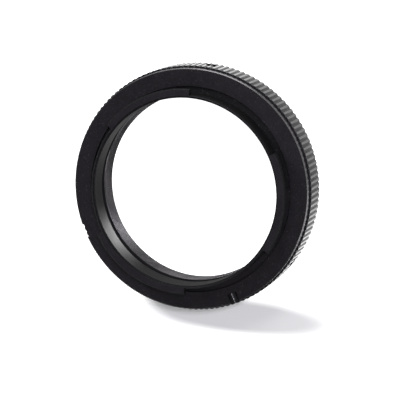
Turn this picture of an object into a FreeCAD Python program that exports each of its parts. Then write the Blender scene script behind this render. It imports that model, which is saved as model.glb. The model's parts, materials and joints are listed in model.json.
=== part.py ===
import FreeCAD, Part
import os
import Sketcher

# Camera t-ring: a bayonet body with a knurled rim, a female-threaded ring seated in its rear,
# and three cone-point set screws that clamp the ring. It lies on its rear face with the bayonet up.
# The axis of the ring is Z, the first screw lies along +Y and the lock slot along -X.

doc = FreeCAD.newDocument("camera_t_ring")

# Driving dimensions, in millimetres, degrees and counts.
driving = {
    # Thread ring
    "thread_diameter": 42.0,
    "thread_pitch": 0.75,
    "ring_wall": 2.55,
    "ring_edge": 0.2,
    "crest_edge": 0.1,
    "lead_margin": 0.1,
    "groove_land": 1.15,
    # Fits
    "seat_clearance": 0.05,
    "end_clearance": 0.05,
    "screw_clearance": 0.05,
    "tip_clearance": 0.1,
    # Knurled rim
    "rim_wall": 3.5,
    "rim_width": 6.7,
    "tooth_count": 135,
    "tooth_depth": 0.22,
    "tooth_angle": 125,
    # Neck and flange
    "neck_depth": 1.3,
    "neck_width": 0.5,
    "flange_step": 0.45,
    "flange_thickness": 1.3,
    "flange_edge": 0.25,
    # Seat and bore inside the body
    "shoulder_drop": 1.7,
    "seat_edge": 0.3,
    "relief_depth": 1.05,
    "web_thickness": 0.6,
    "bore_inset": 0.35,
    # Bayonet collar and lugs
    "recess_depth": 0.5,
    "recess_margin": 0.15,
    "collar_wall": 0.65,
    "collar_height": 4.2,
    "collar_edge": 0.15,
    "mouth_step": 0.3,
    "mouth_depth": 0.45,
    "lug_reach": 1.3,
    "lug_thickness": 1.4,
    "lug_edge": 0.15,
    "lug_lead": 3.8,
    "first_lug_span": 63.0,
    "second_lug_span": 58.0,
    "third_lug_span": 54.5,
    # Lock slot and rim notch
    "slot_width": 2.2,
    "slot_length": 2.2,
    "notch_width": 3.0,
    "notch_depth": 0.5,
    # Set screws
    "screw_count": 3,
    "screw_diameter": 2.5,
    "screw_length": 3.0,
    "screw_edge": 0.2,
    "tip_diameter": 0.4,
    "tip_reach": 0.65,
    "socket_width": 1.3,
    "socket_depth": 1.2,
}

# Sizes that follow from the driving ones. Radii are from the ring's axis, heights from its rear.
derived = {
    "thread_radius": "thread_diameter / 2",
    "crest_radius": "thread_radius - 5 / 8 * cos(30deg) * thread_pitch",
    "lead_radius": "thread_radius + lead_margin",
    "lead_height": "lead_radius - crest_radius",
    "crest_edge_radius": "crest_radius + crest_edge",
    "ring_radius": "thread_radius + ring_wall",
    "ring_edge_radius": "ring_radius - ring_edge",
    "seat_radius": "ring_radius + seat_clearance",
    "seat_edge_radius": "seat_radius + seat_edge",
    "rim_radius": "seat_radius + rim_wall",
    "root_radius": "rim_radius - tooth_depth",
    "gap_radius": "rim_radius + tooth_depth",
    "gap_half_width": "2 * tooth_depth * tan(tooth_angle * 0.5deg)",
    "neck_radius": "rim_radius - neck_depth",
    "neck_height": "rim_width + neck_width",
    "flange_radius": "rim_radius - flange_step",
    "flange_edge_radius": "flange_radius - flange_edge",
    "flange_height": "neck_height + flange_thickness",
    "flange_edge_height": "flange_height - flange_edge",
    "bore_radius": "thread_radius - bore_inset",
    "collar_radius": "bore_radius + collar_wall",
    "collar_top": "flange_height + collar_height",
    "collar_edge_height": "collar_top - collar_edge",
    "collar_edge_radius": "collar_radius - collar_edge",
    "mouth_radius": "bore_radius + mouth_step",
    "mouth_floor": "collar_top - mouth_depth",
    "lug_root_radius": "(mouth_radius + collar_edge_radius) / 2",
    "lug_radius": "collar_radius + lug_reach",
    "lug_edge_radius": "lug_radius - lug_edge",
    "lug_bottom": "collar_top - lug_thickness",
    "lug_edge_height": "collar_top - lug_edge",
    "recess_radius": "lug_radius + recess_margin",
    "recess_floor": "flange_height - recess_depth",
    "web_bottom": "recess_floor - web_thickness",
    "relief_radius": "bore_radius + relief_depth",
    "seat_height": "rim_width - shoulder_drop",
    "ring_height": "seat_height - end_clearance",
    "ring_edge_height": "ring_height - ring_edge",
    "crest_edge_height": "ring_height - crest_edge",
    "tip_radius": "ring_radius - tip_reach",
    "groove_radius": "tip_radius - tip_clearance",
    "groove_floor": "tip_diameter / 2 + tip_clearance / 2",
    "groove_mouth": "groove_floor + ring_radius - groove_radius",
    "screw_height": "ring_height - groove_land - groove_mouth",
    "groove_bottom": "screw_height - groove_mouth",
    "groove_floor_bottom": "screw_height - groove_floor",
    "groove_floor_top": "screw_height + groove_floor",
    "groove_top": "screw_height + groove_mouth",
    "screw_radius": "screw_diameter / 2",
    "hole_radius": "screw_radius + screw_clearance",
    "hole_start": "ring_radius - seat_edge",
    "point_radius": "tip_diameter / 2",
    "cone_height": "screw_radius - point_radius",
    "screw_edge_radius": "screw_radius - screw_edge",
    "screw_edge_height": "screw_length - screw_edge",
    "socket_corner": "socket_width / 2 / cos(30deg)",
    "slot_radius": "slot_width / 2",
    "slot_start": "flange_radius - slot_length",
    "notch_start": "flange_radius - notch_depth",
    "notch_half_width": "notch_width / 2",
    "notch_bottom": "rim_width + neck_width / 2",
    "notch_top": "flange_height + neck_width / 2",
}

sheet = doc.addObject("Spreadsheet::Sheet", "sizes")
row = 0
for name, value in driving.items():
    row += 1
    sheet.set(f"A{row}", name)
    sheet.set(f"B{row}", str(value))
    sheet.setAlias(f"B{row}", name)
for name, formula in derived.items():
    row += 1
    sheet.set(f"A{row}", name)
    sheet.set(f"B{row}", "=" + formula)
    sheet.setAlias(f"B{row}", name)
doc.recompute()


def size(name):
    return float(sheet.get(name))


def origin_item(body, role):
    for item in body.Origin.OriginFeatures:
        if item.Role == role:
            return item
    raise ValueError(role)


def new_body(label):
    body = doc.addObject("PartDesign::Body", label)
    body.Label = label
    return body


def new_sketch(body, name, plane):
    sketch = body.newObject("Sketcher::SketchObject", name)
    sketch.AttachmentSupport = [(origin_item(body, plane), "")]
    sketch.MapMode = "FlatFace"
    return sketch


# Lifts a sketch off its plane, along the plane's normal.
def lift(sketch, formula):
    sketch.setExpression("AttachmentOffset.Base.z", formula)


# Turns a sketch on the XZ plane about the ring's axis.
def turn(sketch, formula):
    sketch.AttachmentOffset = FreeCAD.Placement(
        FreeCAD.Vector(), FreeCAD.Rotation(FreeCAD.Vector(0, 1, 0), 1)
    )
    sketch.setExpression("AttachmentOffset.Rotation.Angle", formula)


# Ties one coordinate of a line's first end to a named size, to its negative where the name has
# a minus sign before it, or to the sketch's axis where there is no name.
def tie(sketch, line, kind, name):
    if name is None:
        axis = -1 if kind == "DistanceY" else -2
        sketch.addConstraint(Sketcher.Constraint("PointOnObject", line, 1, axis))
        return
    plain = name.lstrip("-")
    if plain == name:
        index = sketch.addConstraint(Sketcher.Constraint(kind, -1, 1, line, 1, size(plain)))
    else:
        index = sketch.addConstraint(Sketcher.Constraint(kind, line, 1, -1, 1, size(plain)))
    sketch.setExpression(f"Constraints[{index}]", f"sizes.{plain}")


def coordinate(name):
    if name is None:
        return 0.0
    plain = name.lstrip("-")
    return size(plain) if plain == name else -size(plain)


# A closed outline of straight lines, each corner given by the names of its two coordinates.
def outline(sketch, corners):
    count = len(corners)
    for index in range(count):
        across, up = corners[index]
        start = FreeCAD.Vector(coordinate(across), coordinate(up), 0)
        across, up = corners[(index + 1) % count]
        end = FreeCAD.Vector(coordinate(across), coordinate(up), 0)
        sketch.addGeometry(Part.LineSegment(start, end))
    for index in range(count):
        following = (index + 1) % count
        sketch.addConstraint(Sketcher.Constraint("Coincident", index, 2, following, 1))
        tie(sketch, index, "DistanceX", corners[index][0])
        tie(sketch, index, "DistanceY", corners[index][1])


# A circle whose centre is on the sketch's vertical axis.
def circle(sketch, radius, up):
    centre = FreeCAD.Vector(0, size(up), 0)
    line = sketch.addGeometry(Part.Circle(centre, FreeCAD.Vector(0, 0, 1), size(radius)))
    sketch.addConstraint(Sketcher.Constraint("PointOnObject", line, 3, -2))
    index = sketch.addConstraint(Sketcher.Constraint("DistanceY", -1, 1, line, 3, size(up)))
    sketch.setExpression(f"Constraints[{index}]", f"sizes.{up}")
    index = sketch.addConstraint(Sketcher.Constraint("Radius", line, size(radius)))
    sketch.setExpression(f"Constraints[{index}]", f"sizes.{radius}")


def revolve(body, name, sketch, angle="360"):
    feature = body.newObject("PartDesign::Revolution", name)
    feature.Profile = sketch
    feature.ReferenceAxis = (sketch, ["V_Axis"])
    feature.setExpression("Angle", angle)
    doc.recompute()
    return feature


# Cuts away from the sketch, against the plane's normal unless it is reversed.
def cut(body, name, sketch, length, reverse=False):
    feature = body.newObject("PartDesign::Pocket", name)
    feature.Profile = sketch
    feature.Type = "Length"
    feature.Reversed = reverse
    feature.setExpression("Length", length)
    doc.recompute()
    return feature


def repeat(body, name, feature, count):
    pattern = body.newObject("PartDesign::PolarPattern", name)
    pattern.Originals = [feature]
    pattern.Axis = (origin_item(body, "Z_Axis"), [""])
    pattern.Angle = 360
    pattern.setExpression("Occurrences", count)
    body.Tip = pattern
    doc.recompute()
    return pattern


def make_bayonet_body():
    body = new_body("bayonet_body")

    # Turned section, from the rear seat out over the rim and flange to the collar and back.
    section = new_sketch(body, "body_section", "XZ_Plane")
    outline(section, [
        ("seat_edge_radius", None),
        ("rim_radius", None),
        ("rim_radius", "rim_width"),
        ("neck_radius", "rim_width"),
        ("neck_radius", "neck_height"),
        ("flange_radius", "neck_height"),
        ("flange_radius", "flange_edge_height"),
        ("flange_edge_radius", "flange_height"),
        ("recess_radius", "flange_height"),
        ("recess_radius", "recess_floor"),
        ("collar_radius", "recess_floor"),
        ("collar_radius", "collar_edge_height"),
        ("collar_edge_radius", "collar_top"),
        ("mouth_radius", "collar_top"),
        ("mouth_radius", "mouth_floor"),
        ("bore_radius", "mouth_floor"),
        ("bore_radius", "web_bottom"),
        ("relief_radius", "web_bottom"),
        ("relief_radius", "seat_height"),
        ("seat_radius", "seat_height"),
        ("seat_radius", "seat_edge"),
    ])
    revolve(body, "turned_body", section)

    # Three bayonet lugs, evenly started and of different lengths.
    spans = ("first_lug_span", "second_lug_span", "third_lug_span")
    for number, span in enumerate(spans):
        lug = new_sketch(body, f"lug_section_{number + 1}", "XZ_Plane")
        turn(lug, f"90 + sizes.lug_lead + {number} * 360 / {len(spans)}")
        outline(lug, [
            ("lug_root_radius", "lug_bottom"),
            ("lug_radius", "lug_bottom"),
            ("lug_radius", "lug_edge_height"),
            ("lug_edge_radius", "collar_top"),
            ("lug_root_radius", "collar_top"),
        ])
        revolve(body, f"lug_{number + 1}", lug, f"sizes.{span}")

    # Radial screw holes, from the seat out through the rim.
    hole = new_sketch(body, "screw_hole_circle", "XZ_Plane")
    lift(hole, "-sizes.hole_start")
    circle(hole, "hole_radius", "screw_height")
    hole_cut = cut(body, "screw_hole", hole, "sizes.rim_radius - sizes.hole_start + sizes.seat_edge")
    repeat(body, "screw_holes", hole_cut, "sizes.screw_count")

    # Half-round slot in the flange face for the lock pin, open at the rim.
    slot = new_sketch(body, "lock_slot_circle", "YZ_Plane")
    lift(slot, "-sizes.slot_start")
    circle(slot, "slot_radius", "flange_height")
    cut(body, "lock_slot", slot, "sizes.slot_length + sizes.flange_edge")

    # Small notch in the flange rim, in line with the first screw.
    notch = new_sketch(body, "rim_notch_outline", "XZ_Plane")
    lift(notch, "-sizes.notch_start")
    outline(notch, [
        ("-notch_half_width", "notch_bottom"),
        ("notch_half_width", "notch_bottom"),
        ("notch_half_width", "notch_top"),
        ("-notch_half_width", "notch_top"),
    ])
    cut(body, "rim_notch", notch, "sizes.notch_depth + sizes.flange_edge")

    # Straight knurl: one V-shaped gap between two teeth, repeated round the rim.
    gap = new_sketch(body, "tooth_gap_outline", "XY_Plane")
    outline(gap, [
        ("root_radius", None),
        ("gap_radius", "-gap_half_width"),
        ("gap_radius", "gap_half_width"),
    ])
    gap_cut = cut(body, "tooth_gap", gap, "sizes.rim_width", reverse=True)
    repeat(body, "knurl", gap_cut, "sizes.tooth_count")
    return body


def make_thread_ring():
    body = new_body("thread_ring")
    section = new_sketch(body, "ring_section", "XZ_Plane")
    outline(section, [
        ("lead_radius", None),
        ("ring_edge_radius", None),
        ("ring_radius", "ring_edge"),
        ("ring_radius", "groove_bottom"),
        ("groove_radius", "groove_floor_bottom"),
        ("groove_radius", "groove_floor_top"),
        ("ring_radius", "groove_top"),
        ("ring_radius", "ring_edge_height"),
        ("ring_edge_radius", "ring_height"),
        ("crest_edge_radius", "ring_height"),
        ("crest_radius", "crest_edge_height"),
        ("crest_radius", "lead_height"),
    ])
    revolve(body, "turned_ring", section)
    return body


# A hexagon with corners on a circle round the sketch's origin.
def hexagon(sketch, radius):
    sides = 6
    guide = Part.Circle(FreeCAD.Vector(), FreeCAD.Vector(0, 0, 1), size(radius))
    ring = sketch.addGeometry(guide, True)
    sketch.addConstraint(Sketcher.Constraint("Coincident", ring, 3, -1, 1))
    index = sketch.addConstraint(Sketcher.Constraint("Radius", ring, size(radius)))
    sketch.setExpression(f"Constraints[{index}]", f"sizes.{radius}")
    first_corner = FreeCAD.Vector(size(radius), 0, 0)
    corners = []
    for side in range(sides):
        spin = FreeCAD.Rotation(FreeCAD.Vector(0, 0, 1), side * 360 / sides)
        corners.append(spin.multVec(first_corner))
    lines = []
    for side in range(sides):
        line = Part.LineSegment(corners[side], corners[(side + 1) % sides])
        lines.append(sketch.addGeometry(line))
    for side in range(sides):
        following = lines[(side + 1) % sides]
        sketch.addConstraint(Sketcher.Constraint("Coincident", lines[side], 2, following, 1))
        sketch.addConstraint(Sketcher.Constraint("PointOnObject", lines[side], 1, ring))
    for side in range(sides - 1):
        sketch.addConstraint(Sketcher.Constraint("Equal", lines[side], lines[side + 1]))
    sketch.addConstraint(Sketcher.Constraint("PointOnObject", lines[0], 1, -1))


# A headless cone-point screw, modelled point down and laid along its radial hole.
def make_set_screw(number, count):
    body = new_body(f"set_screw_{number + 1}")
    section = new_sketch(body, f"screw_section_{number + 1}", "XZ_Plane")
    outline(section, [
        (None, None),
        ("point_radius", None),
        ("screw_radius", "cone_height"),
        ("screw_radius", "screw_edge_height"),
        ("screw_edge_radius", "screw_length"),
        (None, "screw_length"),
    ])
    revolve(body, f"turned_screw_{number + 1}", section)
    socket = new_sketch(body, f"socket_outline_{number + 1}", "XY_Plane")
    lift(socket, "sizes.screw_length")
    hexagon(socket, "socket_corner")
    cut(body, f"socket_{number + 1}", socket, "sizes.socket_depth")

    angle = 90 + number * 360 / count
    upright = FreeCAD.Rotation(FreeCAD.Vector(0, 1, 0), 90)
    heading = FreeCAD.Rotation(FreeCAD.Vector(0, 0, 1), angle)
    body.Placement = FreeCAD.Placement(FreeCAD.Vector(), heading.multiply(upright))
    body.setExpression("Placement.Base.x", f"sizes.tip_radius * cos({angle}deg)")
    body.setExpression("Placement.Base.y", f"sizes.tip_radius * sin({angle}deg)")
    body.setExpression("Placement.Base.z", "sizes.screw_height")
    return body


bodies = [make_bayonet_body(), make_thread_ring()]
screw_count = int(size("screw_count"))
for number in range(screw_count):
    bodies.append(make_set_screw(number, screw_count))
doc.recompute()

# Every object has to be sound, and every feature has to change the solid that it works on.
for item in doc.Objects:
    if "Invalid" in item.State or "Error" in item.State:
        raise RuntimeError(f"{item.Label} failed: {item.State}")
for body in bodies:
    if body.Shape.isNull() or not body.Shape.isValid() or len(body.Shape.Solids) != 1:
        raise RuntimeError(f"{body.Label} is not one valid solid")
    for feature in body.Group:
        base = getattr(feature, "BaseFeature", None)
        if base and abs(feature.Shape.Volume - base.Shape.Volume) < 1e-6:
            raise RuntimeError(f"{feature.Label} changes nothing")

os.makedirs("parts", exist_ok=True)
for body in bodies:
    body.Shape.exportStep(f"parts/{body.Label}.step")
    print(body.Label, round(body.Shape.Volume, 2), "cubic millimetres")
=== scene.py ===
import json
import math
import bmesh
import bpy
from mathutils import Matrix, Vector

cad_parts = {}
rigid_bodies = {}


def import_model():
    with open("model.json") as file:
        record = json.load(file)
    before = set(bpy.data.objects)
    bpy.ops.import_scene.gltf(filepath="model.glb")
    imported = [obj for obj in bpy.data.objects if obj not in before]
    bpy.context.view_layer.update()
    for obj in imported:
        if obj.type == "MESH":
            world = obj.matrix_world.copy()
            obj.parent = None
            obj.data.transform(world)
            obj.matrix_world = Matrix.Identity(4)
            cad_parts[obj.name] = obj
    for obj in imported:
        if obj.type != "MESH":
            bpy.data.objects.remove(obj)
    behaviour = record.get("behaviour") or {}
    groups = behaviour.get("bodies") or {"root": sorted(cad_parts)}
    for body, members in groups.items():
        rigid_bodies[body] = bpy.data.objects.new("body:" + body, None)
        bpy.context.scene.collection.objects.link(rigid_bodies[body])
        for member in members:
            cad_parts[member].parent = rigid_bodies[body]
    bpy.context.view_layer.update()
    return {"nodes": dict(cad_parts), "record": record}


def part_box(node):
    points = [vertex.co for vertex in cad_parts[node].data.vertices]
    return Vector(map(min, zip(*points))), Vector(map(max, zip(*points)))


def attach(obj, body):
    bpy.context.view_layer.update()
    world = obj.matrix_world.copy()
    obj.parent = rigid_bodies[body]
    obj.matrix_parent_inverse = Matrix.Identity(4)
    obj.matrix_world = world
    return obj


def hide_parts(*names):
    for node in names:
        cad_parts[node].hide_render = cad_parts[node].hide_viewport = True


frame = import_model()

mm = 0.001
margin = 0.01  # in mm, tells places apart where vertices and faces are picked by position
headings = (90, 210, 330)  # degrees round the ring: the first screw on +Y, the others evenly spaced
mounts = {mount["name"]: mount for mount in frame["record"]["mounts"]}
print("frame loaded:", len(frame["nodes"]), "nodes")


# small helpers

def toLinear(hexText):  # sRGB hex to the linear colour that a socket takes
    channels = [int(hexText[i:i + 2], 16) / 255 for i in (1, 3, 5)]
    linear = [c / 12.92 if c <= 0.04045 else ((c + 0.055) / 1.055) ** 2.4 for c in channels]
    return (*linear, 1.0)


def addNode(tree, kind, values=None, **settings):  # a value that is a socket gets linked
    node = tree.nodes.new(kind)
    for name, value in settings.items():
        setattr(node, name, value)
    for socket, value in (values or {}).items():
        if isinstance(value, bpy.types.NodeSocket):
            tree.links.new(value, node.inputs[socket])
        else:
            node.inputs[socket].default_value = value
    return node


def newMaterial(name):
    material = bpy.data.materials.new(name)
    material.use_nodes = True
    material.node_tree.nodes.clear()
    return material


def newPiece(name, bm):
    mesh = bpy.data.meshes.new(name)
    bm.to_mesh(mesh)
    bm.free()
    piece = bpy.data.objects.new(name, mesh)
    bpy.context.scene.collection.objects.link(piece)
    return piece


def polar(co):  # distance from the ring's axis and angle round it
    return math.hypot(co.x, co.y), math.atan2(co.y, co.x) % math.tau


def setPolar(vert, radius, angle):
    vert.co.x = radius * math.cos(angle)
    vert.co.y = radius * math.sin(angle)


def towards(azimuth, elevation):  # unit vector, angles in degrees
    turn, rise = math.radians(azimuth), math.radians(elevation)
    return Vector((math.cos(turn) * math.cos(rise), math.sin(turn) * math.cos(rise), math.sin(rise)))


def spinSection(corners, steps, edgeBreak=0.0):  # corners are (radius, height) in mm
    bm = bmesh.new()
    verts = [bm.verts.new((radius * mm, 0, height * mm)) for radius, height in corners]
    section = bm.faces.new(verts)
    if edgeBreak:
        squareSine = 0.99  # only square corners are broken
        square = [loop.vert for loop in section.loops if abs(math.sin(loop.calc_angle())) > squareSine]
        bmesh.ops.bevel(bm, geom=square, offset=edgeBreak * mm, offset_type="OFFSET", segments=1,
                        profile=0.5, affect="VERTICES", material=-1)
    bmesh.ops.delete(bm, geom=bm.faces[:], context="FACES_ONLY")
    bmesh.ops.spin(bm, geom=bm.verts[:] + bm.edges[:], cent=(0, 0, 0), axis=(0, 0, 1),
                   angle=math.tau, steps=steps, use_merge=True)
    bmesh.ops.remove_doubles(bm, verts=bm.verts[:], dist=1e-8)
    bmesh.ops.recalc_face_normals(bm, faces=bm.faces[:])
    return bm


def carve(piece, cutter, operation):  # boolean, baked into the piece's own mesh
    modifier = piece.modifiers.new("carve", "BOOLEAN")
    modifier.operation = operation
    modifier.solver = "EXACT"
    modifier.object = cutter
    shaped = piece.evaluated_get(bpy.context.evaluated_depsgraph_get())
    mesh = bpy.data.meshes.new_from_object(shaped)
    piece.modifiers.clear()
    piece.data = mesh
    bpy.data.objects.remove(cutter)


def smoothRound(piece, sharpAngle):  # round surfaces smooth, machined corners crisp
    for face in piece.data.polygons:
        face.use_smooth = True
    piece.data.set_sharp_from_angle(angle=math.radians(sharpAngle))


# finishes

finishes = {  # roughness runs between two values, line and cloud sizes are in mm
    "turned": {"colour": "#19171b", "roughness": (0.30, 0.38), "lineWidth": 0.30, "lineDepth": 0.003,
               "cloudSize": 4.0, "specular": 0.35, "turning": 0.15},
    # crests: glossier and painted a little lighter, painted light on the teeth
    "knurled": {"colour": "#1e1d20", "roughness": (0.16, 0.24), "lineWidth": 0.25, "lineDepth": 0.002,
                "cloudSize": 1.2, "specular": 0.5, "turning": 0.0},
    # grooves: duller and painted darker, painted shade between the teeth
    "groove": {"colour": "#161518", "roughness": (0.44, 0.54), "lineWidth": 0.25, "lineDepth": 0.003,
               "cloudSize": 1.2, "specular": 0.3, "turning": 0.0},
    # near-black and dull: its dark colour is painted shade on walls, holes and the slot's sides
    "mattPaintedShade": {"colour": "#0c0c0d", "roughness": (0.55, 0.65), "lineWidth": 0.30, "lineDepth": 0.003,
             "cloudSize": 4.0, "specular": 0.07, "turning": 0.0},
    # darker than the turned face: painted shade on the recess floor in one gap between lugs
    "recess": {"colour": "#0f0e10", "roughness": (0.50, 0.60), "lineWidth": 0.30, "lineDepth": 0.003,
               "cloudSize": 4.0, "specular": 0.12, "turning": 0.0},
    "bore": {"colour": "#0f0f11", "roughness": (0.30, 0.37), "lineWidth": 0.30, "lineDepth": 0.004,
             "cloudSize": 4.0, "specular": 0.55, "turning": 0.4},
    # lighter and glossier: a polished edge, and on the slot's bottom partly a painted highlight
    "edge": {"colour": "#1c1b1e", "roughness": (0.24, 0.32), "lineWidth": 0.30, "lineDepth": 0.002,
             "cloudSize": 2.0, "specular": 0.5, "turning": 0.2},
}
skinGrain = {  # sizes in mm
    "size": 0.35, "depth": 0.03, "lift": 0.25, "shine": "#faf5fb",
    "dust": "#3a393c", "dustSize": 0.24, "dustLevel": (0.76, 0.82),
}


# black dyed anodising over lathe-turned aluminium: a dark satin skin,
# its shine drawn out across the tool's rings
def blackAnodised(name, finish):
    material = newMaterial(name)
    tree = material.node_tree
    place = addNode(tree, "ShaderNodeTexCoord")
    axes = addNode(tree, "ShaderNodeSeparateXYZ", {"Vector": place.outputs["Object"]})
    flat = addNode(tree, "ShaderNodeCombineXYZ", {"X": axes.outputs["X"], "Y": axes.outputs["Y"]})
    radius = addNode(tree, "ShaderNodeVectorMath", {0: flat.outputs["Vector"]}, operation="LENGTH")
    feed = addNode(tree, "ShaderNodeMath", {0: radius.outputs["Value"], 1: axes.outputs["Z"]},
                   operation="ADD")
    # tool rings are about 0.1 mm apart, drawn coarser so that they show
    rings = addNode(tree, "ShaderNodeTexNoise", {"W": feed.outputs["Value"],
                    "Scale": 1 / (finish["lineWidth"] * mm), "Detail": 2.0, "Roughness": 0.6},
                    noise_dimensions="1D")
    clouds = addNode(tree, "ShaderNodeTexNoise", {"Vector": place.outputs["Object"],
                     "Scale": 1 / (finish["cloudSize"] * mm), "Detail": 4.0, "Roughness": 0.6})
    low, high = finish["roughness"]
    gloss = addNode(tree, "ShaderNodeMapRange", {"Value": clouds.outputs["Fac"], "From Min": 0.3,
                    "From Max": 0.7, "To Min": low, "To Max": high})
    # the etched grain is about 0.05 mm, drawn coarser and deeper so that it shows
    grain = addNode(tree, "ShaderNodeTexNoise", {"Vector": place.outputs["Object"],
                    "Scale": 1 / (skinGrain["size"] * mm), "Detail": 2.0})
    mottle = addNode(tree, "ShaderNodeMapRange", {"Value": grain.outputs["Fac"],
                     "From Min": 0.35, "From Max": 0.65})
    colour = toLinear(finish["colour"])
    deep = [c * (1 - skinGrain["lift"]) for c in colour[:3]] + [1.0]
    pale = [c * (1 + skinGrain["lift"]) for c in colour[:3]] + [1.0]
    # sockets 0, 6 and 7 of a colour Mix are its factor and its two colours, and output 2 is the result
    tone = addNode(tree, "ShaderNodeMix", {0: mottle.outputs["Result"], 6: deep, 7: pale}, data_type="RGBA")
    # a few specks of dust, where a fine noise is highest
    lint = addNode(tree, "ShaderNodeTexNoise", {"Vector": place.outputs["Object"],
                   "Scale": 1 / (skinGrain["dustSize"] * mm), "Detail": 0.0})
    low, high = skinGrain["dustLevel"]
    specks = addNode(tree, "ShaderNodeMapRange", {"Value": lint.outputs["Fac"],
                     "From Min": low, "From Max": high})
    dusty = addNode(tree, "ShaderNodeMix", {0: specks.outputs["Result"], 6: tone.outputs[2],
                    7: toLinear(skinGrain["dust"])}, data_type="RGBA")
    etched = addNode(tree, "ShaderNodeBump", {"Height": grain.outputs["Fac"],
                     "Distance": skinGrain["depth"] * mm})
    ridges = addNode(tree, "ShaderNodeBump", {"Height": rings.outputs["Fac"], "Strength": 0.5,
                     "Distance": finish["lineDepth"] * mm, "Normal": etched.outputs["Normal"]})
    # the tool runs round the axis, and the shine spreads across its path
    along = addNode(tree, "ShaderNodeVectorMath", {0: (0, 0, 1), 1: place.outputs["Object"]},
                    operation="CROSS_PRODUCT")
    turned = addNode(tree, "ShaderNodeVectorTransform", {"Vector": along.outputs["Vector"]},
                     vector_type="VECTOR", convert_from="OBJECT", convert_to="WORLD")
    surface = addNode(tree, "ShaderNodeNewGeometry")
    across = addNode(tree, "ShaderNodeVectorMath", {0: surface.outputs["Normal"],
                     1: turned.outputs["Vector"]}, operation="CROSS_PRODUCT")
    skin = addNode(tree, "ShaderNodeBsdfPrincipled", {"Base Color": dusty.outputs[2], "Metallic": 0.0,
                   "Roughness": gloss.outputs["Result"], "IOR": 1.5,
                   "Specular IOR Level": finish["specular"], "Specular Tint": toLinear(skinGrain["shine"]),
                   "Anisotropic": finish["turning"], "Tangent": across.outputs["Vector"],
                   "Normal": ridges.outputs["Normal"]})
    addNode(tree, "ShaderNodeOutputMaterial", {"Surface": skin.outputs["BSDF"]})
    return material


# chemically blackened steel: a dark metal with a dull oily sheen
def blackenedSteel():
    grain = {"colour": "#28282a", "rim": "#3a3a3c", "size": 0.25, "roughness": (0.55, 0.7)}
    material = newMaterial("blackenedSteel")
    tree = material.node_tree
    place = addNode(tree, "ShaderNodeTexCoord")
    speck = addNode(tree, "ShaderNodeTexNoise", {"Vector": place.outputs["Object"],
                    "Scale": 1 / (grain["size"] * mm), "Detail": 3.0})
    low, high = grain["roughness"]
    gloss = addNode(tree, "ShaderNodeMapRange", {"Value": speck.outputs["Fac"], "From Min": 0.3,
                    "From Max": 0.7, "To Min": low, "To Max": high})
    skin = addNode(tree, "ShaderNodeBsdfPrincipled", {"Base Color": toLinear(grain["colour"]),
                   "Metallic": 1.0, "Specular Tint": toLinear(grain["rim"]),
                   "Roughness": gloss.outputs["Result"]})
    addNode(tree, "ShaderNodeOutputMaterial", {"Surface": skin.outputs["BSDF"]})
    return material


anodised = {}
for name, finish in finishes.items():
    anodised[name] = blackAnodised("blackAnodised" + name.capitalize(), finish)
finishIndex = {name: index for index, name in enumerate(anodised)}
steelFinish = blackenedSteel()
print("finishes ready")


# bayonet body

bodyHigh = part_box("bayonet_body")[1] / mm
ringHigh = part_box("thread_ring")[1] / mm
screwLow, screwHigh = [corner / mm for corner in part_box("set_screw_1")]  # it lies along +Y
screwHeight = (screwLow.z + screwHigh.z) / 2
flangeHeight = mounts["flange_seat"]["pos_m"][2] / mm
crestRadius = mounts["t_thread"]["dims"]["r_mm"]

bodySizes = {  # in mm and degrees
    "rimRadius": 27.1, "rimWidth": 6.7, "toothCount": 135, "toothDepth": 0.22, "toothAngle": 125.0,
    "toothPoints": (-0.025, 0.025, 0.305, 0.365, 0.635, 0.695),  # shares of the pitch from a gap's middle
    "neckDepth": 1.3, "flangeStep": 0.45, "flangeThickness": 1.3, "flangeEdge": 0.25,
    "seatClearance": 0.05, "seatEdge": 0.3, "shoulderDrop": 1.7,
    "recessDepth": 0.5, "recessMargin": 0.15, "webThickness": 0.6,
    "boreRadius": 20.65, "reliefDepth": 1.05, "collarWall": 0.65, "collarEdge": 0.15,
    "mouthStep": 0.3, "mouthDepth": 0.45, "mouthEdge": 0.1,
    "lugReach": 1.3, "lugThickness": 1.4, "lugEdge": 0.15, "lugLead": 3.8, "lugSpans": (63.0, 58.0, 54.5),
    "slotWidth": 2.2, "slotLength": 2.2, "notchWidth": 3.0, "notchDepth": 0.5,
    "notchHeights": (-1.5, 0.7),  # of its cutter, from the flange face
    "holeRadius": 1.3, "holeSpan": (23.0, 27.6), "roundSteps": 40,
    "overrun": 1.0,  # of the slot and notch cutters, past the flange's rim
    "edgeBreak": 0.06, "sharpAngle": 25,
    "chamferGlossShare": 0.6,  # share of the flange's chamfer, from outside, that gets the glossy edge finish; its inner rest is painted near-black, painted shade that narrows the edge's highlight line
    "crestShare": (0.3, 0.7),  # of the pitch, where a tooth's crest lies, glossier and painted lighter than the grooves, which are painted darker as shade
    "paintedShadeGap": (250.0, 345.0),  # angles between which the recess floor is painted darker, painted shade
}
# share of z in a face's normal: level faces have more than the first, walls less than the second
levelTilt, wallTilt = 0.9, 0.5


def cutTeeth(bm, sizes, steps):  # straight knurl: the rim's vertices step in and out round the ring
    points = sizes["toothPoints"]
    pitch = math.tau / sizes["toothCount"]
    rise = sizes["rimRadius"] * pitch / math.tan(math.radians(sizes["toothAngle"] / 2))
    root = sizes["rimRadius"] - sizes["toothDepth"]
    for vert in bm.verts:
        radius, angle = polar(vert.co)
        tooth, step = divmod(round(angle / math.tau * steps) % steps, len(points))
        share = points[step]
        if vert.co.z < (sizes["rimWidth"] + margin) * mm:
            radius = min(radius, (root + min(abs(share), 1 - share) * rise) * mm)
        setPolar(vert, radius, (tooth + share) * pitch)


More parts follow.
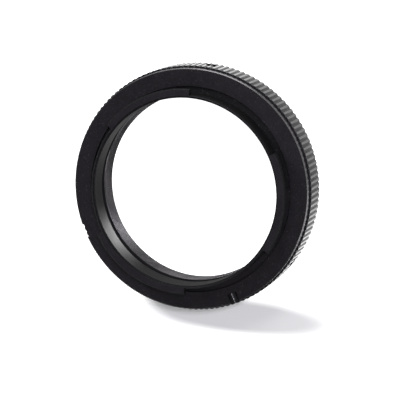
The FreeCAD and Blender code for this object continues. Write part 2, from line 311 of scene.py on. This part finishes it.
def makeLugs(sizes, inner, lugRadius, top):  # three curved claws, each a part turn of its section
    bm = bmesh.new()
    bottom = top - sizes["lugThickness"]
    corners = [(inner, bottom), (lugRadius, bottom), (lugRadius, top - sizes["lugEdge"]),
               (lugRadius - sizes["lugEdge"], top), (inner, top)]
    for heading, span in zip(headings, sizes["lugSpans"]):
        start = math.radians(heading + sizes["lugLead"])
        verts = [bm.verts.new((r * mm * math.cos(start), r * mm * math.sin(start), z * mm))
                 for r, z in corners]
        edges = [bm.edges.new((verts[i - 1], verts[i])) for i in range(len(verts))]
        bmesh.ops.spin(bm, geom=verts + edges, cent=(0, 0, 0), axis=(0, 0, 1),
                       angle=math.radians(span), steps=round(span))
    ends = [edge for edge in bm.edges if edge.is_boundary]
    bmesh.ops.holes_fill(bm, edges=ends, sides=0)
    bmesh.ops.recalc_face_normals(bm, faces=bm.faces[:])
    # walls and chamfers near-black: painted shade beside the lugs; tops turned
    for face in bm.faces:
        face.material_index = finishIndex["mattPaintedShade" if abs(face.normal.z) < levelTilt else "turned"]
    return newPiece("lugs", bm)


def makeCutters(sizes, flangeRadius):  # screw holes, lock slot and rim notch
    bm = bmesh.new()
    onSide = Matrix.Rotation(math.pi / 2, 4, "Y")
    inner, outer = sizes["holeSpan"]
    middle = Matrix.Translation(((inner + outer) / 2 * mm, 0, screwHeight * mm)) @ onSide
    for heading in headings:
        bmesh.ops.create_cone(bm, cap_ends=True, segments=sizes["roundSteps"],
                              radius1=sizes["holeRadius"] * mm, radius2=sizes["holeRadius"] * mm,
                              depth=(outer - inner) * mm,
                              matrix=Matrix.Rotation(math.radians(heading), 4, "Z") @ middle)
    # near-black hole walls: painted shade in the screw holes
    for face in bm.faces:
        face.material_index = finishIndex["mattPaintedShade"]
    holes = set(bm.faces)

    reach = sizes["slotLength"] + sizes["overrun"]
    middle = Matrix.Translation(((reach / 2 - flangeRadius - sizes["overrun"]) * mm, 0, flangeHeight * mm))
    bmesh.ops.create_cone(bm, cap_ends=True, segments=sizes["roundSteps"],
                          radius1=sizes["slotWidth"] / 2 * mm, radius2=sizes["slotWidth"] / 2 * mm,
                          depth=reach * mm, matrix=middle @ onSide)
    bm.normal_update()
    for face in set(bm.faces) - holes:  # the slot's bottom gets the lighter, glossier edge finish, partly a painted highlight, and its near-black sides are painted shade
        face.material_index = finishIndex["edge" if abs(face.normal.z) > levelTilt else "mattPaintedShade"]

    reach = sizes["notchDepth"] + sizes["overrun"]
    low, high = sizes["notchHeights"]
    middle = Matrix.Translation((0, (flangeRadius + sizes["overrun"] - reach / 2) * mm,
                                 (flangeHeight + (low + high) / 2) * mm))
    size = Matrix.Diagonal((sizes["notchWidth"] * mm, reach * mm, (high - low) * mm, 1))
    bmesh.ops.create_cube(bm, size=1.0, matrix=middle @ size)
    bmesh.ops.recalc_face_normals(bm, faces=bm.faces[:])
    return newPiece("cutters", bm)


def makeBayonetBody(sizes):
    rim, bore, top = sizes["rimRadius"], sizes["boreRadius"], bodyHigh.z
    seat = ringHigh.x + sizes["seatClearance"]
    seatTop = sizes["rimWidth"] - sizes["shoulderDrop"]
    neck = rim - sizes["neckDepth"]
    neckTop = flangeHeight - sizes["flangeThickness"]
    flange = rim - sizes["flangeStep"]
    collar = bore + sizes["collarWall"]
    collarTop = collar - sizes["collarEdge"]
    mouth = bore + sizes["mouthStep"]
    mouthFloor = top - sizes["mouthDepth"]
    lug = collar + sizes["lugReach"]
    recess = lug + sizes["recessMargin"]
    recessFloor = flangeHeight - sizes["recessDepth"]
    relief = bore + sizes["reliefDepth"]
    web = recessFloor - sizes["webThickness"]
    glossyStrip = sizes["flangeEdge"] * sizes["chamferGlossShare"]  # the chamfer's outer strip
    glossyStripTop = flangeHeight - sizes["flangeEdge"] + glossyStrip
    corners = [
        (seat + sizes["seatEdge"], 0), (rim, 0), (rim, sizes["rimWidth"]),
        (neck, sizes["rimWidth"]), (neck, neckTop), (flange, neckTop),
        (flange, flangeHeight - sizes["flangeEdge"]), (flange - glossyStrip, glossyStripTop),
        (flange - sizes["flangeEdge"], flangeHeight),
        (recess, flangeHeight), (recess, recessFloor), (collar, recessFloor),
        (collar, top - sizes["collarEdge"]), (collarTop, top),
        (mouth + sizes["mouthEdge"], top), (mouth, top - sizes["mouthEdge"]), (mouth, mouthFloor),
        (bore, mouthFloor), (bore, web), (relief, web), (relief, seatTop), (seat, seatTop),
        (seat, sizes["seatEdge"]),
    ]
    steps = sizes["toothCount"] * len(sizes["toothPoints"])
    edgeBreak = sizes["edgeBreak"]
    bm = spinSection(corners, steps, edgeBreak)
    cutTeeth(bm, sizes, steps)

    # finish by place, with painted light and shade: knurl crests glossier and painted lighter, grooves
    # duller and painted darker; bore inside; polished flange edge with the chamfer's inner rest painted
    # near-black; near-black walls at the recess and mouth; recess floor painted darker in one gap between
    # lugs
    bm.normal_update()
    for face in bm.faces:
        middle = face.calc_center_median()
        radius, angle = polar(middle)
        tilt = abs(face.normal.z)
        finish = "turned"
        if middle.z < sizes["rimWidth"] * mm and radius > neck * mm and tilt < levelTilt:
            across = angle / math.tau * sizes["toothCount"] % 1.0
            low, high = sizes["crestShare"]
            # crests painted lighter and grooves darker: painted light and shade across the teeth
            finish = "knurled" if low < across < high else "groove"
        elif radius < (mouth - margin) * mm and tilt < wallTilt:
            finish = "bore"
        # flange side and the chamfer's outer strip glossy, its inner rest painted near-black as shade
        elif radius > (recess + edgeBreak) * mm and middle.z > neckTop * mm and tilt < levelTilt:
            finish = "edge" if middle.z < glossyStripTop * mm else "mattPaintedShade"
        # recess walls near-black, and its floor painted darker in one gap: painted shade
        elif (collarTop + margin) * mm < radius < (recess + margin) * mm and middle.z > web * mm:
            low, high = sizes["paintedShadeGap"]
            floorFinish = "recess" if low < math.degrees(angle) < high else "turned"
            finish = "mattPaintedShade" if tilt < levelTilt else floorFinish
        # mouth wall near-black: painted shade
        elif radius < collarTop * mm and middle.z > (mouthFloor - edgeBreak) * mm and tilt < levelTilt:
            finish = "mattPaintedShade"
        face.material_index = finishIndex[finish]
    piece = newPiece("bayonetBody", bm)
    for material in anodised.values():
        piece.data.materials.append(material)
    carve(piece, makeLugs(sizes, (mouth + collarTop) / 2, lug, top), "UNION")
    carve(piece, makeCutters(sizes, flange), "DIFFERENCE")
    smoothRound(piece, sizes["sharpAngle"])
    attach(piece, "body")
    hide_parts("bayonet_body")
    return piece


bayonetBody = makeBayonetBody(bodySizes)
print("bayonet body:", len(bayonetBody.data.polygons), "faces")


# thread ring

threadForm = {"slope": 1.6, "crestFlat": 0.25}  # steeper flanks and a flat crest, in shares of the depth
ringSizes = {  # in mm and degrees
    "nominalRadius": 21.0, "pitch": 0.75, "rowsPerPitch": 8, "leadMargin": 0.1, "edge": 0.2,
    "crestEdge": 0.1, "grooveLand": 1.15, "grooveDepth": 0.75, "grooveFloor": 0.25,
    "steps": 360, "sharpAngle": 25,
}


def threadShare(turns):  # 0 on the crest, 1 at the root, for a position along the thread
    wave = 1 - abs(2 * (turns % 1.0) - 1)
    return min(max(wave * threadForm["slope"] - threadForm["crestFlat"], 0.0), 1.0)


def makeThreadRing(sizes):
    outer, height = ringHigh.x, ringHigh.z
    lead = sizes["nominalRadius"] + sizes["leadMargin"]
    mouth = sizes["grooveFloor"] + sizes["grooveDepth"]
    middle = height - sizes["grooveLand"] - mouth
    groove = outer - sizes["grooveDepth"]
    corners = [
        (lead, 0), (outer - sizes["edge"], 0), (outer, sizes["edge"]), (outer, middle - mouth),
        (groove, middle - sizes["grooveFloor"]), (groove, middle + sizes["grooveFloor"]),
        (outer, middle + mouth), (outer, height - sizes["edge"]), (outer - sizes["edge"], height),
        (crestRadius + sizes["crestEdge"], height),
    ]
    crestTop = height - sizes["crestEdge"]
    rows = round(crestTop / sizes["pitch"] * sizes["rowsPerPitch"])
    corners += [(crestRadius, crestTop * (1 - row / rows)) for row in range(rows)]
    bm = spinSection(corners, sizes["steps"])
    depth = sizes["nominalRadius"] - crestRadius
    for vert in bm.verts:
        radius, angle = polar(vert.co)
        z = vert.co.z / mm
        if radius > (crestRadius + sizes["crestEdge"] + margin) * mm:
            continue
        turns = z / sizes["pitch"] - angle / math.tau
        flank = crestRadius + depth * threadShare(turns)
        setPolar(vert, max(flank * mm, (lead - z) * mm, radius), angle)  # lead-in at the rear mouth
    bmesh.ops.recalc_face_normals(bm, faces=bm.faces[:])
    piece = newPiece("threadRing", bm)
    piece.data.materials.append(anodised["bore"])
    smoothRound(piece, sizes["sharpAngle"])
    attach(piece, "ring")
    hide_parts("thread_ring")
    return piece


threadRing = makeThreadRing(ringSizes)
print("thread ring:", len(threadRing.data.polygons), "faces")


# set screws

screwSizes = {  # in mm and degrees
    "radius": 1.25, "tipRadius": 0.2, "edge": 0.2, "pitch": 0.45, "threadDepth": 0.22, "rowsPerPitch": 6,
    "socketWidth": 1.3, "socketDepth": 1.2, "steps": 48, "sharpAngle": 30,
}


def makeSetScrew(number, sizes):  # turned standing on its point, then laid along its hole
    length = screwHigh.y - screwLow.y
    radius = sizes["radius"]
    cone = radius - sizes["tipRadius"]
    threadTop = length - sizes["edge"]
    rows = round((threadTop - cone) / sizes["pitch"] * sizes["rowsPerPitch"])
    corners = [(0, 0), (sizes["tipRadius"], 0)]
    corners += [(radius, cone + (threadTop - cone) * row / rows) for row in range(rows + 1)]
    corners += [(radius - sizes["edge"], length), (0, length)]
    bm = spinSection(corners, sizes["steps"])
    for vert in bm.verts:
        r, angle = polar(vert.co)
        z = vert.co.z / mm
        if r > (radius - margin) * mm and cone + margin < z < threadTop - margin:
            turns = z / sizes["pitch"] - angle / math.tau
            setPolar(vert, (radius - sizes["threadDepth"] * threadShare(turns)) * mm, angle)
    piece = newPiece(f"setScrew{number + 1}", bm)
    tool = bmesh.new()
    corner = sizes["socketWidth"] / 2 / math.cos(math.pi / 6) * mm
    bmesh.ops.create_cone(tool, cap_ends=True, segments=6, radius1=corner, radius2=corner,
                          depth=2 * sizes["socketDepth"] * mm,
                          matrix=Matrix.Translation((0, 0, length * mm)))
    carve(piece, newPiece("hexTool", tool), "DIFFERENCE")
    heading = Matrix.Rotation(math.radians(headings[number]), 4, "Z")
    seat = Matrix.Translation((screwLow.y * mm, 0, screwHeight * mm))
    piece.data.transform(heading @ seat @ Matrix.Rotation(math.pi / 2, 4, "Y"))
    piece.data.materials.append(steelFinish)
    smoothRound(piece, sizes["sharpAngle"])
    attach(piece, f"screw_{number + 1}")
    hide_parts(f"set_screw_{number + 1}")


for number in range(len(headings)):
    makeSetScrew(number, screwSizes)
print("set screws ready")


# floor, light and camera

floorLook = {  # places and sizes in mm, levels of glow where white is 1
    "radius": 300.0, "segments": 96, "drop": 0.02, "colour": "#f4f4f4",
    # an oval where the shadow shows, with the shares of its size between which it fades out
    "shade": (-30.0, 4.5), "shadeSize": (31.0, 5.2), "shadeTurn": 64.0, "shadeEdge": (0.5, 1.05),
    # a layer has a centre, two distances from it, the levels there, and how it joins the layers before it
    "shownLayers": [  # white to the camera
        ((-0.3, 2.4), (25.8, 26.9), (0.0, 1.0), "MULTIPLY"),  # shadow also where the rim hides the floor
        ((0.0, 0.0), (21.0, 25.0), (1.0, 0.0), "MAXIMUM"),  # white inside the ring
    ],
    "paintedReflectionLayers": [  # painted reflections: glow that only reflected rays see, shaped to draw highlights on the knurl and bore
        ((3.5, -30.0), (10.0, 32.0), (0.95, 2.4), "ADD"),  # brighter round the rim, a painted reflection on the knurl
        ((0.0, 0.0), (40.0, 70.0), (1.0, 0.2), "MULTIPLY"),  # dimmer far away
        ((0.0, 0.0), (21.0, 25.0), (0.0, 1.0), "MULTIPLY"),  # and inside the ring
        ((0.0, 0.0), (21.0, 25.0), (0.17, 0.0), "ADD"),
        ((-2.8, 16.9), (0.0, 3.8), (1.7, 0.0), "ADD"),  # glowing patches, painted highlights that the far bore wall mirrors
        ((-3.2, 21.5), (0.0, 7.0), (5.5, 0.0), "ADD"),
        ((-8.3, 19.5), (0.0, 3.5), (2.5, 0.0), "ADD"),
        ((14.5, 14.0), (0.0, 9.0), (0.2, 0.0), "ADD"),
    ],
}


def addLayers(tree, place, level, layers):  # soft rounds of light or shade on the floor
    for centre, reach, levels, joining in layers:
        away = addNode(tree, "ShaderNodeVectorMath", {0: place, 1: (centre[0] * mm, centre[1] * mm, 0)},
                       operation="DISTANCE")
        fade = addNode(tree, "ShaderNodeMapRange", {"Value": away.outputs["Value"],
                       "From Min": reach[0] * mm, "From Max": reach[1] * mm,
                       "To Min": levels[0], "To Max": levels[1]}, interpolation_type="SMOOTHSTEP")
        joined = addNode(tree, "ShaderNodeMath", {0: level, 1: fade.outputs["Result"]}, operation=joining)
        level = joined.outputs["Value"]
    return level


# dull white card: white to the camera apart from a soft shadow, with a glow of its own in reflections,
# shaped into painted reflections and highlights
def whitePaperFloor():
    material = newMaterial("whitePaperFloor")
    tree = material.node_tree
    place = addNode(tree, "ShaderNodeTexCoord").outputs["Object"]
    path = addNode(tree, "ShaderNodeLightPath")

    middle, size, edge = floorLook["shade"], floorLook["shadeSize"], floorLook["shadeEdge"]
    oval = addNode(tree, "ShaderNodeMapping", {"Vector": place,
                   "Location": (middle[0] * mm, middle[1] * mm, 0),
                   "Rotation": (0, 0, math.radians(floorLook["shadeTurn"])),
                   "Scale": (size[0] * mm, size[1] * mm, 1)}, vector_type="TEXTURE")
    outward = addNode(tree, "ShaderNodeVectorMath", {0: oval.outputs["Vector"]}, operation="LENGTH")
    bare = addNode(tree, "ShaderNodeMapRange", {"Value": outward.outputs["Value"], "From Min": edge[0],
                   "From Max": edge[1]}, interpolation_type="SMOOTHSTEP")
    white = addLayers(tree, place, bare.outputs["Result"], floorLook["shownLayers"])
    shown = addNode(tree, "ShaderNodeMath", {0: white, 1: path.outputs["Is Camera Ray"]},
                    operation="MULTIPLY")
    glow = addNode(tree, "ShaderNodeEmission", {"Color": (1, 1, 1, 1), "Strength": shown.outputs["Value"]})
    paper = addNode(tree, "ShaderNodeBsdfDiffuse", {"Color": toLinear(floorLook["colour"])})
    both = addNode(tree, "ShaderNodeAddShader", {0: glow.outputs["Emission"], 1: paper.outputs["BSDF"]})

    paintedReflectionLevel = addLayers(tree, place, 0.0, floorLook["paintedReflectionLayers"])
    paintedReflectionGlow = addNode(tree, "ShaderNodeEmission", {"Color": (1, 1, 1, 1), "Strength": paintedReflectionLevel})
    mix = addNode(tree, "ShaderNodeMixShader", {0: path.outputs["Is Glossy Ray"], 1: both.outputs["Shader"],
                  2: paintedReflectionGlow.outputs["Emission"]})
    addNode(tree, "ShaderNodeOutputMaterial", {"Surface": mix.outputs["Shader"]})
    return material


def makeFloor():
    bm = bmesh.new()
    bmesh.ops.create_circle(bm, cap_ends=True, segments=floorLook["segments"],
                            radius=floorLook["radius"] * mm,
                            matrix=Matrix.Translation((0, 0, -floorLook["drop"] * mm)))
    floor = newPiece("floor", bm)
    floor.data.materials.append(whitePaperFloor())


lamps = {  # azimuth and elevation in degrees, distance and size in metres, power in watts
    "frontSoftbox": {"azimuth": -80, "elevation": 64, "distance": 0.9, "size": 0.2, "power": 3.8,
                     "colour": "#f8f7ff"},
    "topSoftbox": {"azimuth": -19, "elevation": 46, "distance": 0.8, "size": 0.25, "power": 1.2,
                   "colour": "#ffffff"},
    "fillSoftbox": {"azimuth": 178, "elevation": 42, "distance": 0.8, "size": 0.25, "power": 1.5,
                    "colour": "#ffffff"},
    "leftSoftbox": {"azimuth": 20, "elevation": 30, "distance": 0.8, "size": 0.16, "power": 3.8,
                    "colour": "#ffffff"},
}
strips = {  # the same, for lights that only draw highlights on the edges
    "sideStrip": {"azimuth": -85, "elevation": 16, "distance": 0.8, "size": 1.0, "power": 7.0,
                  "colour": "#ffffff"},
    "upperStrip": {"azimuth": -28, "elevation": 14, "distance": 0.7, "size": 0.45, "power": 5.5,
                   "colour": "#ffffff"},
    "lowerStrip": {"azimuth": -138, "elevation": 14, "distance": 0.7, "size": 0.45, "power": 3.8,
                   "colour": "#ffffff"},
    "backStrip": {"azimuth": 3, "elevation": 8, "distance": 0.7, "size": 0.6, "power": 4.0,
                  "colour": "#ffffff"},
}


def makeLamp(name, lamp, mirrorOnly):
    data = bpy.data.lights.new(name, "AREA")
    data.shape = "DISK"
    data.size = lamp["size"]
    data.energy = lamp["power"]
    data.color = toLinear(lamp["colour"])[:3]
    light = bpy.data.objects.new(name, data)
    way = towards(lamp["azimuth"], lamp["elevation"])
    light.location = way * lamp["distance"]
    light.rotation_euler = way.to_track_quat("Z", "Y").to_euler()
    light.visible_diffuse = not mirrorOnly
    bpy.context.scene.collection.objects.link(light)


worldGlow = {"room": 0.14, "camera": 1.0}  # a dim room for the object, plain white past the floor's edge


def makeWorld():
    world = bpy.data.worlds.new("studio")
    world.use_nodes = True
    tree = world.node_tree
    tree.nodes.clear()
    path = addNode(tree, "ShaderNodeLightPath")
    room = addNode(tree, "ShaderNodeBackground", {"Color": (1, 1, 1, 1), "Strength": worldGlow["room"]})
    white = addNode(tree, "ShaderNodeBackground", {"Color": (1, 1, 1, 1), "Strength": worldGlow["camera"]})
    mix = addNode(tree, "ShaderNodeMixShader", {0: path.outputs["Is Camera Ray"],
                  1: room.outputs["Background"], 2: white.outputs["Background"]})
    addNode(tree, "ShaderNodeOutputWorld", {"Surface": mix.outputs["Shader"]})
    bpy.context.scene.world = world


shot = {  # fitted to the photo's outlines: the long lens looks down, rolled so that +Z points lower left
    "target": (-3.267, 1.675, 0.0), "distance": 554.9, "elevation": 70.39, "azimuth": -83.54,
    "roll": -118.12, "focalPixels": 2500, "framePixels": 400,
}


def makeCamera():
    data = bpy.data.cameras.new("camera")
    data.sensor_width = 36.0
    data.lens = shot["focalPixels"] / shot["framePixels"] * data.sensor_width
    data.clip_start = 0.01
    camera = bpy.data.objects.new("camera", data)
    way = towards(shot["azimuth"], shot["elevation"])
    place = Vector(shot["target"]) * mm + way * shot["distance"] * mm
    upright = way.to_track_quat("Z", "Y").to_matrix().to_4x4()
    roll = Matrix.Rotation(math.radians(shot["roll"]), 4, "Z")
    camera.matrix_world = Matrix.Translation(place) @ upright @ roll
    bpy.context.scene.collection.objects.link(camera)
    bpy.context.scene.camera = camera


makeFloor()
for name, lamp in lamps.items():
    makeLamp(name, lamp, mirrorOnly=False)
for name, strip in strips.items():
    makeLamp(name, strip, mirrorOnly=True)
makeWorld()
makeCamera()
bpy.context.scene.view_settings.view_transform = "Standard"
print("stage ready")
